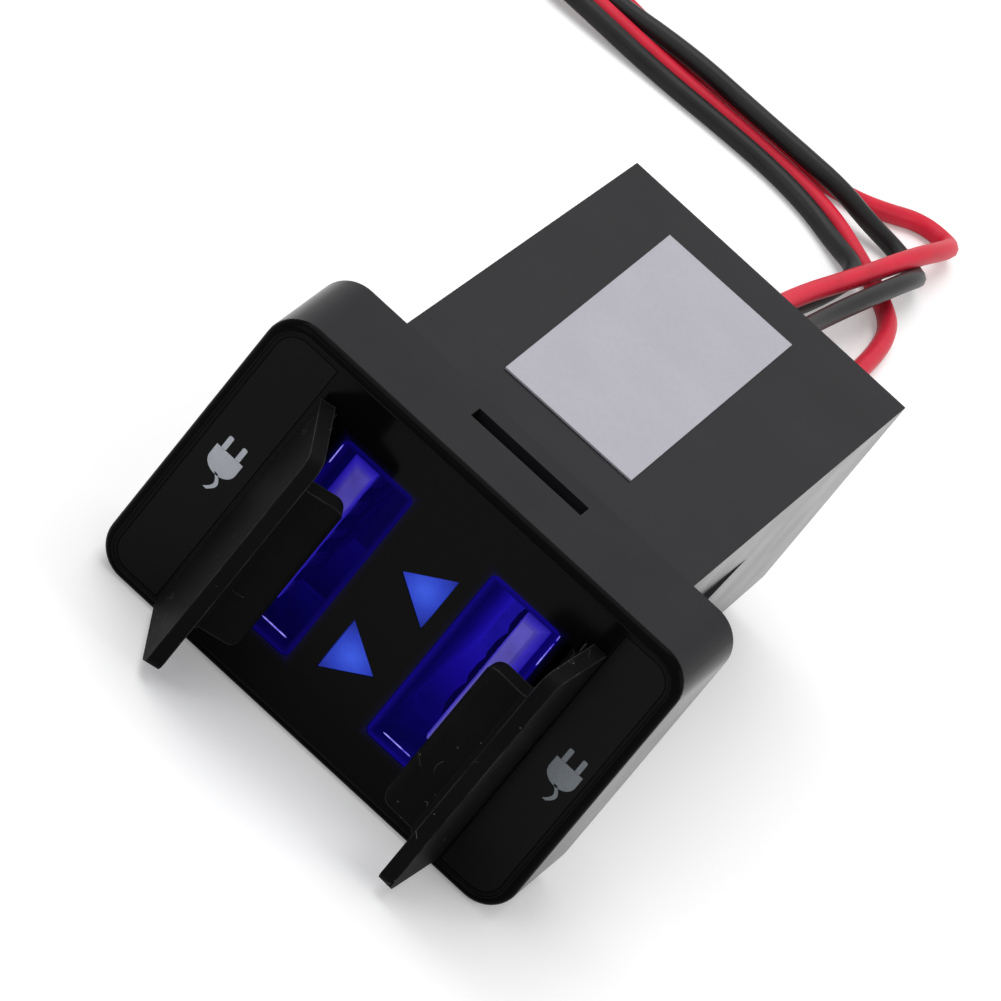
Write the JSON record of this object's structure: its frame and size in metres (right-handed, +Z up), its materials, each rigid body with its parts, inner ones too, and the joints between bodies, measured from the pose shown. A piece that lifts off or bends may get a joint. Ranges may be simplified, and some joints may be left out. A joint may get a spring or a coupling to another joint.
{
  "type": "car dual usb socket",
  "caption": "Switch-sized twin charging socket for a car dash: gloss face with upright ports under hinged covers, arrow lamps, drafted housing and loose leads.",
  "frame": {"origin": "under the middle of the box of the socket itself, leads left out, level with the bezel's bottom", "axes": "+Y back into the dash, +X right along the face, +Z up"},
  "size_m": [0.064, 0.1214, 0.022],
  "materials": {
    "dark_plastic": "fine spark grain, dark grey",
    "gloss_black": "polished black",
    "cover_black": "soft satin black",
    "steel": "nickel plated sheet",
    "blue_clear": "lit translucent blue",
    "tongue_white": "moulded white",
    "contact_brass": "gold flashed",
    "rubber": "plain black rubber",
    "label_paper": "blank matte label",
    "board_green": "solder resist over glass fibre",
    "ferrite": "dark ferrite with wound wire",
    "can_aluminium": "sleeved aluminium can",
    "chip_black": "moulded epoxy",
    "red_jacket": "smooth red wire insulation",
    "black_jacket": "smooth black wire insulation",
    "tinned_copper": "tinned strands",
    "tie_black": "nylon band"
  },
  "bodies": {
    "socket": {"bezel_frame": "dark_plastic", "face_panel": "gloss_black", "left_end_inlay": "gloss_black", "right_end_inlay": "gloss_black", "left_hinge_pin": "steel", "right_hinge_pin": "steel", "left_port_liner": "blue_clear", "right_port_liner": "blue_clear", "left_port_shell": "steel", "right_port_shell": "steel", "left_port_tongue": "tongue_white", "right_port_tongue": "tongue_white", "left_port_contacts": "contact_brass", "right_port_contacts": "contact_brass", "upper_arrow_lens": "blue_clear", "lower_arrow_lens": "blue_clear", "upper_arrow_lamp": "tongue_white", "lower_arrow_lamp": "tongue_white", "housing_shell": "dark_plastic", "rear_cover": "dark_plastic", "lead_grommet": "rubber", "top_label": "label_paper", "port_board": "board_green", "power_board": "board_green", "board_pins": "contact_brass", "power_choke": "ferrite", "input_capacitor": "can_aluminium", "output_capacitor": "can_aluminium", "converter_chip": "chip_black", "red_lead_a": "red_jacket", "black_lead_a": "black_jacket", "red_lead_b": "red_jacket", "black_lead_b": "black_jacket", "red_coil_a": "red_jacket", "black_coil_a": "black_jacket", "red_coil_b": "red_jacket", "black_coil_b": "black_jacket", "lead_tips": "tinned_copper", "coil_tie": "tie_black"},
    "left_cover": {"left_cover": "cover_black"},
    "right_cover": {"right_cover": "cover_black"}
  },
  "joints": [
    {"name": "left_cover_hinge", "type": "hinge", "parent": "socket", "child": "left_cover", "pos_m": [-0.01025, -0.02156, 0.01], "axis": [0, 0, 1], "range_deg": [-21.7, 68.3]},
    {"name": "right_cover_hinge", "type": "hinge", "parent": "socket", "child": "right_cover", "pos_m": [0.01025, -0.02156, 0.01], "axis": [0, 0, 1], "range_deg": [-86.6, 3.4]}
  ]
}
